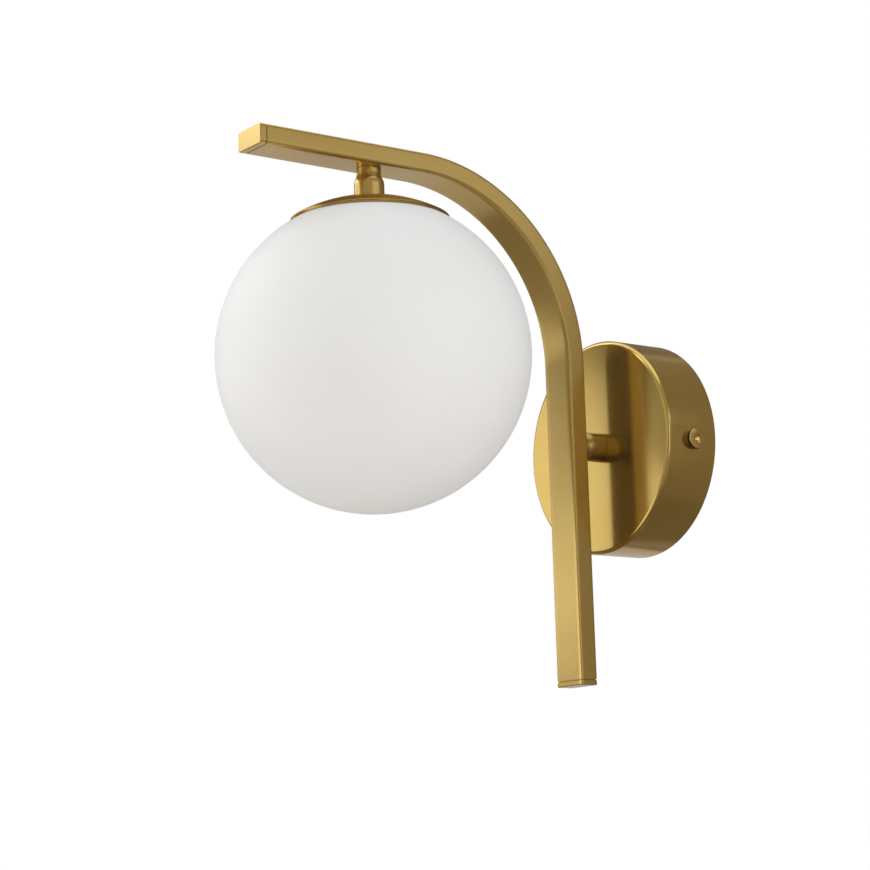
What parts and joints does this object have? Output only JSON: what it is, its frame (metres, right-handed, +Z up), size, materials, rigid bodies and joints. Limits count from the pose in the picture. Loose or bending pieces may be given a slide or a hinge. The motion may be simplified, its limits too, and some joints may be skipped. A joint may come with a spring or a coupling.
{
  "type": "globe wall sconce",
  "caption": "Wall light with an opal glass globe hung from a bent rectangular brass arm on a round canopy.",
  "frame": {"origin": "on the wall plane, midway between the two wall slots, which is the centre of the canopy's back", "axes": "+Z up, +Y into the wall, -Y into the room along the arm's reach, +X to the right seen from the room"},
  "size_m": [0.15, 0.241, 0.2555],
  "materials": {
    "satin_brass": "satin brushed and lacquered",
    "polished_brass": "polished and lacquered",
    "zinc_steel": "zinc plated",
    "opal_glass": "satin opal white",
    "clear_glass": "clear",
    "white_ceramic": "glazed ceramic",
    "white_nylon": "moulded",
    "contact_metal": "plain",
    "silicone": "matt",
    "brown_lead": "insulated lead",
    "blue_lead": "insulated lead",
    "green_lead": "insulated lead"
  },
  "bodies": {
    "fixture": {"wall_bracket": "zinc_steel", "ear_nuts": "zinc_steel", "canopy": "satin_brass", "standoff": "polished_brass", "rear_nipple": "zinc_steel", "canopy_washer": "zinc_steel", "canopy_nut": "zinc_steel", "rear_insert": "zinc_steel", "arm_tube": "satin_brass", "arm_tip_cap": "satin_brass", "arm_foot_cap": "satin_brass", "top_insert": "zinc_steel", "globe_coupler": "polished_brass", "globe_nipple": "zinc_steel", "globe_cap": "satin_brass", "glass_holder": "zinc_steel", "glass_seal": "silicone", "holder_nut": "zinc_steel", "lamp_bracket": "zinc_steel", "lamp_holder": "white_ceramic", "holder_contacts": "contact_metal", "holder_screws": "zinc_steel", "terminal_block": "white_nylon", "terminal_tubes": "contact_metal", "terminal_screws": "zinc_steel", "block_screw": "zinc_steel", "earth_screw": "contact_metal", "earth_washer": "contact_metal", "earth_tag": "contact_metal", "lead_neutral": "blue_lead", "lead_live": "brown_lead", "lead_earth": "green_lead"},
    "globe": {"glass_globe": "opal_glass"},
    "bulb": {"bulb_base": "white_ceramic", "bulb_pins": "contact_metal", "bulb_capsule": "clear_glass"},
    "right_screw": {"side_screw_right": "polished_brass"},
    "left_screw": {"side_screw_left": "polished_brass"}
  },
  "joints": [
    {"name": "globe_unscrew", "type": "hinge", "parent": "fixture", "child": "globe", "pos_m": [0, -0.166, 0.03302], "axis": [0, 0, -1], "range_deg": [0, 450]},
    {"name": "bulb_pull", "type": "slide", "parent": "fixture", "child": "bulb", "axis": [0, 0, -1], "range_m": [0, 0.013]},
    {"name": "right_screw_turn", "type": "hinge", "parent": "fixture", "child": "right_screw", "pos_m": [0.0542, -0.0145, -0.0034], "axis": [1, 0, 0], "range_deg": [0, 1080]},
    {"name": "left_screw_turn", "type": "hinge", "parent": "fixture", "child": "left_screw", "pos_m": [-0.0542, -0.0145, -0.0034], "axis": [-1, 0, 0], "range_deg": [0, 1080]}
  ]
}
